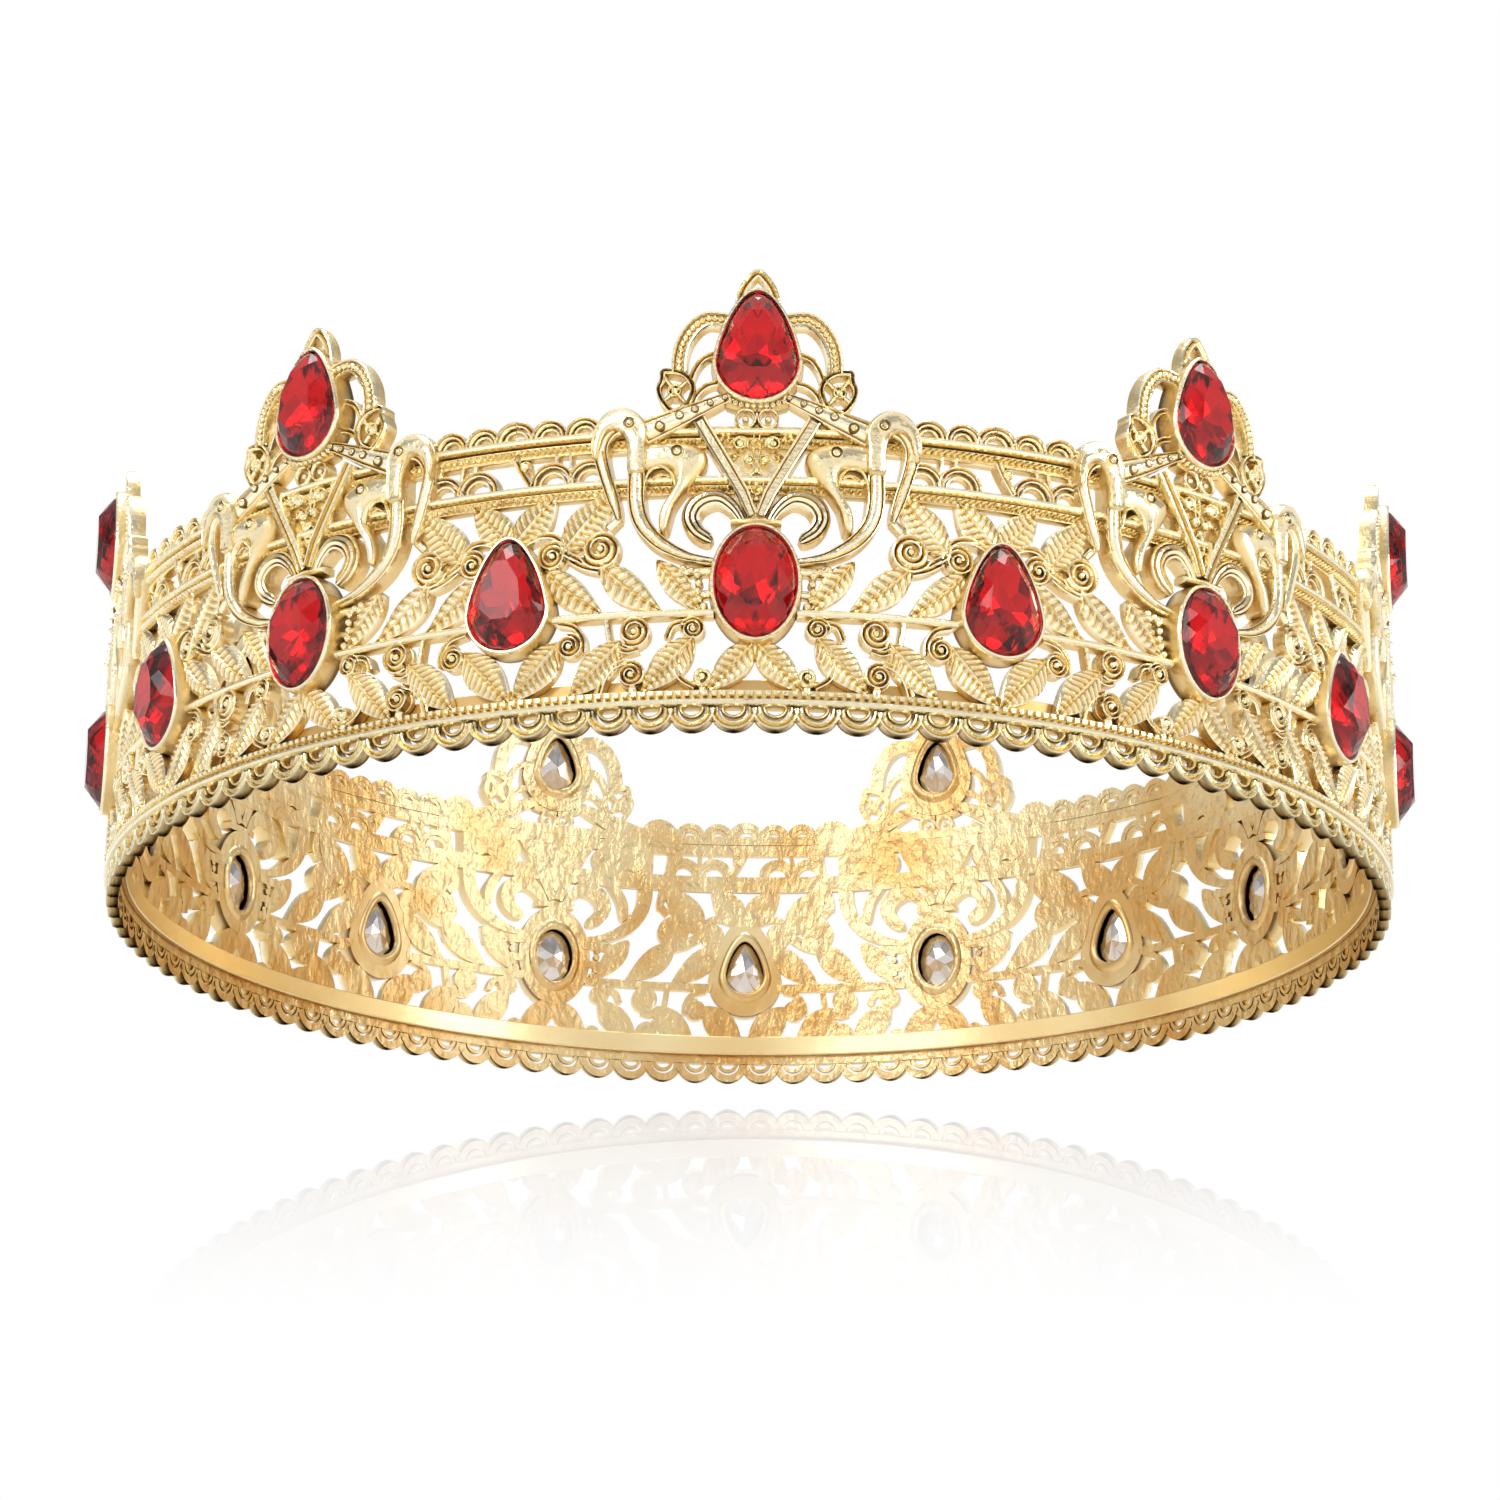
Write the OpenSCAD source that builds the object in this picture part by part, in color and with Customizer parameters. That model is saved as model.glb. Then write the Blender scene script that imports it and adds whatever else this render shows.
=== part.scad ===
// Crown made of nine cast filigree panels on a plain fitting band.
// The crown's axis is Z, the scallop tips stand on Z = 0, and panel 1 faces -Y.

/* [Ring] */
// Radius inside the fitting band, where the head goes
inner_r = 82; // [70:1:100]
// Thickness of the fitting band
band_t = 0.8; // [0.5:0.1:1.5]
// Height of the fitting band
band_h = 2.8; // [2:0.2:6]
// Height of the fitting band's lower edge above the scallop tips
band_z = 3.8; // [3:0.2:5]

/* [Casting] */
// Overall height, from the scallop tips to the finial's point
crown_h = 58; // [46:1:72]
// Thickness of the open lattice
lattice_t = 1.6; // [1:0.1:2.4]
// Thickness of the raised scrolls, bars and ears
relief_t = 3; // [2.2:0.1:4]
// Width of the finest scroll wires
wire = 0.9; // [0.7:0.05:1.2]
// Festoon scallops along the foot of each panel
scallops = 12; // [10:1:14]
// Gap for solder between neighbouring castings
seam_gap = 0.1; // [0.05:0.05:0.3]

/* [Stones] */
// Width of an oval stone
oval_w = 10; // [8:0.5:12]
// Height of an oval stone
oval_h = 14; // [11.5:0.5:17]
// Width of a pear stone
pear_w = 10; // [8:0.5:12]
// Height of a pear stone
pear_h = 14; // [11.5:0.5:17]
// Height of a stone's crown above its girdle
stone_crown = 2.7; // [2:0.1:3.4]
// Thickness of a stone's girdle
girdle_t = 0.4; // [0.2:0.1:0.8]

/* [Settings] */
// Wall thickness of a stone's cup
cup_wall = 0.45; // [0.3:0.05:0.8]
// Depth of a cup, from its back to its rim
cup_depth = 3.2; // [2.8:0.1:4]
// Gap between a stone's edge and its cup
stone_gap = 0.05; // [0.02:0.01:0.15]
// Height of a cup's rim above the stone's girdle
rim_over = 0.6; // [0.4:0.1:1]
// Size of the window behind a stone, as a share of the stone's own size
window_share = 0.62; // [0.5:0.02:0.75]

/* [Hidden] */
PANELS = 9;
function names(kind) = [for (k = [1:PANELS]) str(kind, "_", k)];

$fn = 48;
SLIVER = 0.01;
OVER = 1;                            // how far a cutting solid runs past what it cuts
HALF_TURN = 180 / PANELS;            // half of a panel, in degrees
DRAWN_HALF = 29.5;                   // half of a panel as drawn, in mm along the wall
DRAWN_FOOT = 17;                     // drawn height of the oval stone's centre above the scallop tips
DRAWN_H = 57.8;                      // drawn overall height
CUP_POINTS = 16;                     // corners round a cup
STONE_POINTS = 16;                   // corners round a stone's girdle
TABLE_SHARE = 0.55;                  // size of a stone's table, as a share of its girdle
OVAL_V = 0.6;                        // drawn heights of the stones' centres
CREST_V = 30.4;
LINK_V = 0.4;

back_r = inner_r + band_t;           // the castings' back face, soldered to the band's outside
map_r = back_r + lattice_t / 2;      // the radius at which the drawing is wrapped
rim_r = back_r + cup_depth;
girdle_top = cup_depth - rim_over;   // measured outward from the castings' back
CULET_Z = 0.1;                       // how far a stone's point stays inside its cup
pavilion_h = girdle_top - girdle_t - CULET_Z;
seat_z = CULET_Z + pavilion_h * window_share;
rise = crown_h / DRAWN_H;            // stretches the drawing to the wanted height

// A drawn point, with u along the wall and v up from the oval stone's centre, seen square on.
// $side is 1 for the right half of a panel and -1 for its mirror image.
$side = 1;
function place(p) = [$side * map_r * sin(p[0] / DRAWN_HALF * HALF_TURN), (p[1] + DRAWN_FOOT) * rise];
pitch = 2 * DRAWN_HALF / scallops;   // drawn distance between two scallops
scallop_r = place([pitch / 2, 0])[0] + wire / 4;
function reversed(p) = [for (i = [len(p) - 1:-1:0]) p[i]];
function pick(p, i) = p[max(0, min(len(p) - 1, i))];
function wrap_pick(p, i) = p[(i + len(p)) % len(p)];
function between(a, b, c, d, t) =
    0.5 * (2 * b + (c - a) * t + (2 * a - 5 * b + 4 * c - d) * t * t
           + (3 * b - a - 3 * c + d) * t * t * t);
// A smooth line through a few points, open or closed.
function curve(p, steps) =
    concat([for (i = [0:len(p) - 2], s = [0:steps - 1])
            between(pick(p, i - 1), p[i], p[i + 1], pick(p, i + 2), s / steps)], [p[len(p) - 1]]);
function loop(p, steps) =
    [for (i = [0:len(p) - 1], s = [0:steps - 1])
     between(wrap_pick(p, i - 1), p[i], wrap_pick(p, i + 1), wrap_pick(p, i + 2), s / steps)];
function across(p, i) =
    let (d = pick(p, i + 1) - pick(p, i - 1)) [-d[1], d[0]] / norm(d);
function edge(p, w0, w1) =
    [for (i = [0:len(p) - 1]) p[i] + across(p, i) * (w0 + (w1 - w0) * i / (len(p) - 1)) / 2];

// The same outline, always counterclockwise.
function ccw(p) =
    let (n = len(p), turns = [for (i = [0:n - 1]) cross(p[i], p[(i + 1) % n])], ones = [for (t = turns) 1])
    turns * ones > 0 ? p : reversed(p);

// The outline of an oval or pear stone of this size, centred on its box, point upwards.
function oval_outline(w, h, n = CUP_POINTS) =
    [for (i = [0:n - 1]) let (a = i * 360 / n) [w / 2 * cos(a), h / 2 * sin(a)]];
function pear_outline(w, h, n = CUP_POINTS) =
    let (round_r = w / 2, drop = h - w)
    [for (i = [0:n - 1])
     let (a = -90 + i * 360 / n, s = sin(a))
     s <= 0 ? [round_r * cos(a), round_r * s - drop / 2]
            : [round_r * cos(a) * (1 - 0.3 * s), (round_r + drop) * pow(s, 0.92) - drop / 2]];
// ---- flat drawing tools

module wire_line(points, w0, w1, steps = 1) {
    p = curve([for (q = points) place(q)], steps);
    polygon(ccw(concat(edge(p, w0, w1), reversed(edge(p, -w0, -w1)))));
}
module straight(a, b, w) {
    p = [place(a), place(b)];
    polygon(ccw(concat(edge(p, w, w), reversed(edge(p, -w, -w)))));
}
module shape(points, steps = 1) { polygon(ccw(loop([for (q = points) place(q)], steps))); }
// A rail across the whole panel, or as far as u on each side.
module rail(v0, v1, u = DRAWN_HALF + 1) {
    half = place([min(u, DRAWN_HALF), 0])[0] + (u > DRAWN_HALF ? OVER : 0);
    translate([-half, place([0, v0])[1]]) square([2 * half, (v1 - v0) * rise]);
}
module bead(c, r) { translate(place(c)) circle(r); }
module ring_at(c, r, w) {
    translate(place(c)) difference() {
        circle(r);
        circle(r - w);
    }
}
// A scroll's eye: a wire ring with a bead that touches it on one side.
module volute(c, r, side = 1) {
    ring_at(c, r, wire);
    translate($side * side * [r * 0.25, 0]) bead(c, r * 0.5);
}
// A leaf lies between two equal arcs that meet at its root and its tip.
module leaf(root, tip, w) {
    a = place(root);
    b = place(tip);
    long = norm(b - a);
    arc_r = (long * long + w * w) / (4 * w);
    translate((a + b) / 2) rotate(atan2(b[1] - a[1], b[0] - a[0])) intersection() {
        translate([0, arc_r - w / 2]) circle(arc_r);
        translate([0, w / 2 - arc_r]) circle(arc_r);
    }
}
module both_sides() {
    for ($side = [1, -1]) children();
}
module half_ring(r, w, up) {
    difference() {
        circle(r);
        circle(r - w);
        translate([-r - OVER, up ? -r - OVER : 0]) square([2 * (r + OVER), r + OVER]);
    }
}
module arch(c, r, w) { translate(place(c)) half_ring(r, w, true); }

// ---- the casting's open lattice, drawn flat, right half

module rails() {
    foot_rail();
    rail(-3.4, -2.2);
    rail(12.2, 14.4);
    rail(17.9, 20.4);
}
// The scallops stand on Z = 0, and the foot rail starts where their wires end.
module festoon() {
    for (i = [0:scallops - 1]) translate([place([-DRAWN_HALF + pitch * (i + 0.5), 0])[0], scallop_r])
        half_ring(scallop_r, wire * 1.1, false);
}
module foot_rail() {
    half = place([DRAWN_HALF, 0])[0] + OVER;
    low = scallop_r - SLIVER;
    translate([-half, low]) square([2 * half, place([0, -12.2])[1] - low]);
}
module top_arches() {
    for (u = [20.9, 25.2]) arch([u, 20.3], 2.4, wire);
    arch([DRAWN_HALF, 20.3], 2.7, wire);
}
module rail_arches() {
    for (u = [20, 24.7]) arch([u, 14.3], 2.8, wire);
    for (u = [20, 22.4, 24.7]) straight([u, u == 22.4 ? 14 : 16.6], [u, 18.2], wire);
}
module upper_leaves() {
    leaf([23.2, 5.4], [17.2, 13], 4.5);
    leaf([29.3, 6.6], [24.2, 13], 4.3);
    leaf([25.4, 3.6], [18.2, -2.6], 3.6);
    leaf([18.6, 3.8], [11, -2.6], 3.8);
    leaf([11.8, 4], [6.2, -2.8], 3.2);
}
module lower_leaves() {
    leaf([-0.3, -6], [5.8, -12.8], 3.6);
    leaf([7.2, -5.6], [13.6, -12.8], 4);
    leaf([15.8, -5.9], [22.2, -12.8], 4.2);
    leaf([23.2, -5.5], [29.8, -12.8], 4.5);
}
module scrolls() {
    volute([18.5, 5.6], 2.7);
    volute([24.4, 5.1], 2.1);
    volute([7.3, -4.8], 1.6, -1);
    volute([14.3, -4.9], 2.1);
    volute([22.1, -6.1], 1.8);
    volute([14.6, -10.2], 1.8, -1);
    volute([6.2, -10.7], 1.4);
}
module stems() {
    wire_line([[20.6, 3.9], [22, 4.6], [23.2, 5.2]], 1.4, wire);
    wire_line([[22.8, 6.1], [25.2, 7.8], [27.9, 6.6]], wire, wire);
    wire_line([[8.4, -3.9], [9.6, -4.6], [10.2, -5.8]], wire, wire);
    wire_line([[8.6, -7], [9.2, -9], [8.6, -10.9], [6.9, -11.9]], wire, wire);
    wire_line([[14.3, -7], [15.6, -6.8], [17, -6.7]], wire, wire);
    wire_line([[23.5, -3], [21, -4.2], [20.4, -6.4]], wire, wire);
    wire_line([[15.2, -8.5], [17.4, -9.6], [18.6, -12.4]], wire, wire);
    straight([17.5, -3], [17.4, -7], wire);
    straight([7.2, -3], [7.2, -3.9], 1.4);
    straight([14.3, -2.9], [14.3, -3.4], 1.6);
    straight([9.2, 2.2], [4.6, 1.2], 1.3);
    straight([8.3, 0], [4.6, -1], 1.3);
    straight([14.6, -11.6], [14.6, -12.6], 1.2);
    straight([6.2, -11.8], [6.2, -12.6], 1.2);
}
module filigree() {
    shape([[5.6, 20.2], [2.7, 15.4], [0.4, 11], [-0.4, 11], [-2.7, 15.4], [-5.6, 20.2]]);
}
module crest_loops() {
    both_sides() ring_at([1.3, 21.6], 1.5, wire * 0.8);
}
module filigree_holes() {
    for (u = [-0.9, 0.9]) bead([u, 16.6], 0.45);
    bead([0, 14.9], 0.4);
}
module lattice_drawing() {
    festoon();
    rails();
    both_sides() {
        top_arches();
        rail_arches();
        upper_leaves();
        lower_leaves();
        scrolls();
        stems();
    }
    // Only the left end of a panel has a brace between its two upper rails.
    wire_line([[-29.9, 18.4], [-28.8, 16.6], [-27.3, 14]], 1.1, 0.9);
}

// ---- the casting's raised work, drawn flat, right half

module swan_neck() {
    wire_line([[14.1, 20], [14.2, 16], [14.1, 10], [12.9, 7.2], [10.8, 5.1]], 2.4, 1.9, 2);
    wire_line([[11.4, 5.5], [9.6, 4.4], [7.4, 3.8], [4.4, 3.4]], 1.9, 0.9);
}
module outer_head() {
    difference() {
        shape([[12.8, 20.6], [14, 22.3], [16.3, 23], [18.3, 22], [19.4, 19], [18.9, 15.8], [17.1, 11.5],
               [16.9, 9.6], [16.2, 9], [15.6, 9.8], [15.4, 11.6], [13.8, 15]], 2);
        shape([[16.3, 19], [17.4, 17.6], [17, 15], [15.9, 12.6], [15.4, 15], [15.4, 17.6]]);
    }
}
module inner_head() {
    shape([[13.8, 18], [10.6, 18.5], [8, 18.3], [6.1, 17.2], [5.9, 15.4], [8, 12.5], [9.8, 9.8],
           [10.3, 7.6], [11, 7.1], [11.6, 8.2], [11.2, 10.4], [9.7, 12.9], [10.3, 15.1], [13.6, 14.6]], 2);
}
module horn() {
    shape([[1.5, 8.4], [2.2, 10.1], [3.8, 11.7], [6.6, 11.8], [8.4, 9.8], [7.9, 7.2], [5.6, 5.4],
           [5.2, 6.3], [6.8, 8.4], [6, 9.9], [4, 10.1], [2.6, 8.4]], 2);
}
module arm() {
    wire_line([[2.6, 24.2], [6, 23], [9.3, 21.6], [13.6, 19.9]], 1.6, 3.2);
}
module bars() {
    both_sides() straight([6.9, 21.4], [0.3, 8.6], 1.7);
    rail(7.7, 9, 2.9);
}
module ear() {
    wire_line([[4, 33.9], [5.9, 34.2], [7.7, 32.9], [8.8, 30.4], [9.2, 27.6]], 1.9, 1.9);
    wire_line([[4.6, 29.7], [6.6, 28.9], [8.2, 26.2]], wire, wire);
    wire_line([[4, 25.7], [6, 25.4], [8, 24]], wire, wire);
}
module medallion() {
    difference() {
        shape([[7.2, 25.2], [8, 26.7], [9.3, 27.7], [11.4, 28], [11.6, 26.5], [12.1, 25], [11.3, 23.2],
               [10, 21.8], [8.4, 22.9]]);
        for (v = [24, 26.2]) bead([9.8, v], 0.5);
    }
}
module finial() {
    difference() {
        shape([[2.6, 34.6], [2.4, 37.2], [1.5, 38.9], [0.5, 40.2], [0, 40.8], [-0.5, 40.2], [-1.5, 38.9],
               [-2.4, 37.2], [-2.6, 34.6]]);
        shape([[0.9, 37.8], [0, 39.2], [-0.9, 37.8]]);
    }
}
module raised_drawing() {
    both_sides() {
        swan_neck();
        outer_head();
        inner_head();
        horn();
        arm();
        ear();
        medallion();
    }
    bars();
    crest_loops();
    finial();
}

// ---- solids

// Turns what is made at the front, facing -Y, round to an angle.
module around(angle) { rotate([0, 0, angle]) children(); }
// Lays a flat drawing on the front wall, running outward from the castings' back.
module stand_up(depth) {
    translate([0, -depth, 0]) rotate([90, 0, 0]) children();
}
// What lies past a panel's ends, as seen from the axis, and half of each seam.
module beyond_ends() {
    wide = 2 * rim_r;
    tall = crown_h + 4 * OVER;
    around(HALF_TURN) translate([-seam_gap / 2, -wide, -2 * OVER]) cube([wide, wide, tall]);
    around(-HALF_TURN) translate([seam_gap / 2 - wide, -wide, -2 * OVER]) cube([wide, wide, tall]);
}
// A flat drawing as a curved plate between two radii.
module wrapped(r0, r1) {
    near = back_r * cos(HALF_TURN) - OVER;
    tall = crown_h + 4 * OVER;
    difference() {
        intersection() {
            stand_up(near) linear_extrude(r1 - near + OVER) children();
            translate([0, 0, -2 * OVER]) cylinder(h = tall, r = r1);
        }
        translate([0, 0, -3 * OVER]) cylinder(h = tall + 2 * OVER, r = r0);
    }
}
module at_stone(v) { stand_up(back_r) translate([0, place([0, v])[1], 0]) children(); }

module cup_blank(outer) { linear_extrude(cup_depth) polygon(outer); }
module cup_bore(cavity, window) {
    translate([0, 0, seat_z]) linear_extrude(cup_depth) polygon(cavity);
    translate([0, 0, -OVER]) linear_extrude(seat_z + 2 * OVER) polygon(window);
}
module oval_blank() { cup_blank(oval_outline(oval_w + 2 * cup_wall, oval_h + 2 * cup_wall)); }
module oval_bore() {
    cup_bore(oval_outline(oval_w + 2 * stone_gap, oval_h + 2 * stone_gap),
             oval_outline(oval_w * window_share, oval_h * window_share));
}
module pear_blank() { cup_blank(pear_outline(pear_w + 2 * cup_wall, pear_h + 2 * cup_wall)); }
module pear_bore() {
    cup_bore(pear_outline(pear_w + 2 * stone_gap, pear_h + 2 * stone_gap),
             pear_outline(pear_w * window_share, pear_h * window_share));
}
module link_space() {
    for (side = [-1, 1]) around(side * HALF_TURN) at_stone(LINK_V)
        translate([0, 0, -2 * OVER]) linear_extrude(cup_depth + 4 * OVER)
            polygon(pear_outline(pear_w + 2 * cup_wall, pear_h + 2 * cup_wall));
}

module cast_panel() {
    color("gold") difference() {
        union() {
            difference() {
                wrapped(back_r, back_r + lattice_t) difference() {
                    union() {
                        lattice_drawing();
                        filigree();
                    }
                    filigree_holes();
                }
                beyond_ends();
            }
            wrapped(back_r + 0.1, back_r + relief_t) raised_drawing();
            at_stone(OVAL_V) oval_blank();
            at_stone(CREST_V) pear_blank();
        }
        at_stone(OVAL_V) oval_bore();
        at_stone(CREST_V) pear_bore();
        link_space();
    }
}
module link_setting() {
    color("gold") at_stone(LINK_V) difference() {
        pear_blank();
        pear_bore();
    }
}
// A stone rests on its seat: a culet at the back, a girdle in the cup and a flat table in front.
module stone(girdle, table) {
    color("crimson") hull() {
        translate([0, 0, CULET_Z]) linear_extrude(SLIVER) circle(0.2, $fn = 8);
        translate([0, 0, girdle_top - girdle_t]) linear_extrude(girdle_t) polygon(girdle);
        translate([0, 0, girdle_top + stone_crown - SLIVER]) linear_extrude(SLIVER) polygon(table);
    }
}
module oval_stone() {
    at_stone(OVAL_V) stone(oval_outline(oval_w, oval_h, STONE_POINTS),
                           TABLE_SHARE * oval_outline(oval_w, oval_h, STONE_POINTS));
}
module pear_stone(v) {
    at_stone(v) stone(pear_outline(pear_w, pear_h, STONE_POINTS),
                      TABLE_SHARE * pear_outline(pear_w, pear_h, STONE_POINTS));
}
module inner_band() {
    color("goldenrod") translate([0, 0, band_z]) difference() {
        cylinder(h = band_h, r = back_r, $fn = 180);
        translate([0, 0, -OVER]) cylinder(h = band_h + 2 * OVER, r = inner_r, $fn = 180);
    }
}

inner_band();
for (k = [1:PANELS]) {
    centre = (k - 1) * 2 * HALF_TURN;
    around(centre) cast_panel();
    around(centre + HALF_TURN) link_setting();
    around(centre) oval_stone();
    around(centre) pear_stone(CREST_V);
    around(centre + HALF_TURN) pear_stone(LINK_V);
}
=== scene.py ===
import math

import bmesh
import bpy
import numpy as np
from mathutils import Matrix, Vector


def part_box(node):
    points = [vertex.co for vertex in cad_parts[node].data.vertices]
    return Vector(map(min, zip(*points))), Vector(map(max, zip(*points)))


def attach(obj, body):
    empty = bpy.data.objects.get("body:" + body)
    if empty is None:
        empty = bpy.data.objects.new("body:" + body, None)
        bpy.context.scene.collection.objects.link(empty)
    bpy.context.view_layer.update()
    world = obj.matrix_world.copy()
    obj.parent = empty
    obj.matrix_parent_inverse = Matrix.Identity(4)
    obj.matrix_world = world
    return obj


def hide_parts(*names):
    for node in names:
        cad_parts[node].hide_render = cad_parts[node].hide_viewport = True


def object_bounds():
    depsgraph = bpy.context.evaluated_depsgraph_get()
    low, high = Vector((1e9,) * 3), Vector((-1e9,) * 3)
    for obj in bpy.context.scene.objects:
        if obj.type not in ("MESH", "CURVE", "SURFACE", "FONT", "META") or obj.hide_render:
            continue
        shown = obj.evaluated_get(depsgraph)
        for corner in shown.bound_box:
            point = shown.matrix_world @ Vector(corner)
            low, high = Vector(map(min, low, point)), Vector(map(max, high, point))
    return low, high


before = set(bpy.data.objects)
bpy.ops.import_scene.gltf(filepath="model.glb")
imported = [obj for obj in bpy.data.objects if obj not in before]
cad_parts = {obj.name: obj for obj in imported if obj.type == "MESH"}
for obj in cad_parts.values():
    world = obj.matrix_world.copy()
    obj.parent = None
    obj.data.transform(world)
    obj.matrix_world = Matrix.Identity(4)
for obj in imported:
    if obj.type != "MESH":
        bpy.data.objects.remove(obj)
cad_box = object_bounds()

# ---- driving sizes, in millimetres, taken from the frame where the frame holds them

MM = 0.001
PANELS = 9
TURN = 2 * math.pi / PANELS
DRAWN_HALF = 29.5                    # half of a panel as drawn, measured along the wall
DRAWN_FOOT = 17.0                    # drawn height of the oval stone's centre above the scallop tips
DRAWN_H = 57.8                       # drawn overall height
CROWN_H = (cad_box[1].z - cad_box[0].z) / MM
RISE = CROWN_H / DRAWN_H
BACK_R = round(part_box("inner_band")[1].x / MM, 1)
GIRDLE_LOW, GIRDLE_TOP = 2.2, 2.6    # a stone's girdle, outward from the castings' back
STONE_TOP = 5.3
CULET = 0.1
FOIL_BELOW = (GIRDLE_LOW + GIRDLE_TOP) / 2 - 0.01
STONE_W, STONE_H = 10.0, 14.0
PEAR_CULET = -0.6                    # how far below its centre a pear stone comes to its point
BAND_T, BAND_SOFT = 0.8, 0.15        # thickness of the fitting band, and its bevels
SCALLOPS = 12                        # scallops under one panel
SCALLOP_PITCH = 2 * DRAWN_HALF / SCALLOPS
RAIL_STEP = 1.2
SHARP = math.radians(38)             # edges bent further than this stay crisp
TURNED_IN = -0.6                     # a face that looks this much towards the axis is on the inside


def stone_height(node):
    """Height of a stone's centre above the scallop tips."""
    low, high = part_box(node)
    return (low.z + high.z) / 2 / MM


def placed(name, data):
    """A new object in the scene."""
    made = bpy.data.objects.new(name, data)
    bpy.context.scene.collection.objects.link(made)
    return made


def set_values(node, values):
    for name, value in values.items():
        node.inputs[name].default_value = value


def join(links, *pairs):
    """Links a node's output to another's input, for each pair."""
    for start, out, end, into in pairs:
        links.new(start.outputs[out], end.inputs[into])


# ---- camera and stage

def make_camera():
    """A long lens a little below the crown, looking up at it."""
    azimuth, elevation, roll = -0.00568, -0.314111, -0.008836
    distance, aim = 0.6652, Vector((0, 0, 0.02473))
    back = Vector((math.sin(azimuth) * math.cos(elevation),
                   -math.cos(azimuth) * math.cos(elevation), math.sin(elevation)))
    level = Vector((math.cos(azimuth), math.sin(azimuth), 0))
    upright = level.cross(-back)
    right = math.cos(roll) * level - math.sin(roll) * upright
    up = math.sin(roll) * level + math.cos(roll) * upright
    data = bpy.data.cameras.new("camera")
    data.lens = 119.12
    data.sensor_width = 36
    data.clip_start, data.clip_end = 0.01, 20
    camera = placed("camera", data)
    facing = Matrix((right, up, back)).transposed().to_4x4()
    camera.matrix_world = Matrix.Translation(aim + distance * back) @ facing
    bpy.context.scene.camera = camera
    return camera


def new_material(name):
    material = bpy.data.materials.new(name)
    material.use_nodes = True
    nodes = material.node_tree.nodes
    return material, nodes, material.node_tree.links, nodes["Principled BSDF"]


def sheet(name, corners, material):
    """A flat sheet with four corners."""
    mesh = bpy.data.meshes.new(name)
    mesh.from_pydata(corners, [], [(0, 1, 2, 3)])
    mesh.materials.append(material)
    return placed(name, mesh)


def mix_shaders(nodes, links, factor, first, second, output):
    mix = nodes.new("ShaderNodeMixShader")
    links.new(factor, mix.inputs["Fac"])
    links.new(first, mix.inputs[1])
    links.new(second, mix.inputs[2])
    links.new(mix.outputs["Shader"], output.inputs["Surface"])


def make_stage():
    """A pale floor under the scallop tips that hides nothing from a camera below it."""
    material, nodes, links, surface = new_material("pale_floor")
    surface.inputs["Roughness"].default_value = 0.6
    grain = nodes.new("ShaderNodeTexNoise")
    grain.inputs["Scale"].default_value = 40
    tone = nodes.new("ShaderNodeValToRGB")
    tone.color_ramp.elements[0].color = (0.84, 0.83, 0.82, 1)
    tone.color_ramp.elements[1].color = (0.92, 0.91, 0.90, 1)
    links.new(grain.outputs["Fac"], tone.inputs["Fac"])
    links.new(tone.outputs["Color"], surface.inputs["Base Color"])
    clear = nodes.new("ShaderNodeBsdfTransparent")
    side = nodes.new("ShaderNodeNewGeometry")
    mix_shaders(nodes, links, side.outputs["Backfacing"], surface.outputs["BSDF"],
                clear.outputs["BSDF"], nodes["Material Output"])
    half, drop = 1.5, -0.0002
    corners = [(-half, -half, drop), (half, -half, drop), (half, half, drop), (-half, half, drop)]
    floor = sheet("floor", corners, material)


def make_mirror(camera):
    """A clear sheet below the crown, level with the camera, with a mirror image that fades towards it."""
    faintest_y, strongest_y, strongest = -0.2, 0.084, 0.3
    far_edge = Vector((0, 0.087, -0.0012))
    half_width, reach = 0.3, 0.45
    material, nodes, links, surface = new_material("fading_mirror")
    nodes.remove(surface)
    place = nodes.new("ShaderNodeTexCoord")
    split = nodes.new("ShaderNodeSeparateXYZ")
    fade = nodes.new("ShaderNodeMapRange")
    fade.interpolation_type = "SMOOTHSTEP"
    set_values(fade, {"From Min": faintest_y, "From Max": strongest_y, "To Max": strongest})
    clear = nodes.new("ShaderNodeBsdfTransparent")
    gloss = nodes.new("ShaderNodeBsdfGlossy")
    set_values(gloss, {"Roughness": 0.0, "Color": (1, 1, 1, 1)})
    links.new(place.outputs["Object"], split.inputs["Vector"])
    links.new(split.outputs["Y"], fade.inputs["Value"])
    mix_shaders(nodes, links, fade.outputs["Result"], clear.outputs["BSDF"], gloss.outputs["BSDF"],
                nodes["Material Output"])
    back = camera.matrix_world.col[2].to_3d()
    right = camera.matrix_world.col[0].to_3d()
    left_end, right_end = far_edge - half_width * right, far_edge + half_width * right
    corners = [left_end, right_end, right_end + reach * back, left_end + reach * back]
    mirror = sheet("mirror", corners, material)
    mirror.visible_shadow = False
    mirror.visible_diffuse = False
    mirror.visible_glossy = False
    mirror.visible_transmission = False


def plain_white(nodes):
    white = nodes.new("ShaderNodeRGB").outputs["Color"]
    white.default_value = (1, 1, 1, 1)
    return white


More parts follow.
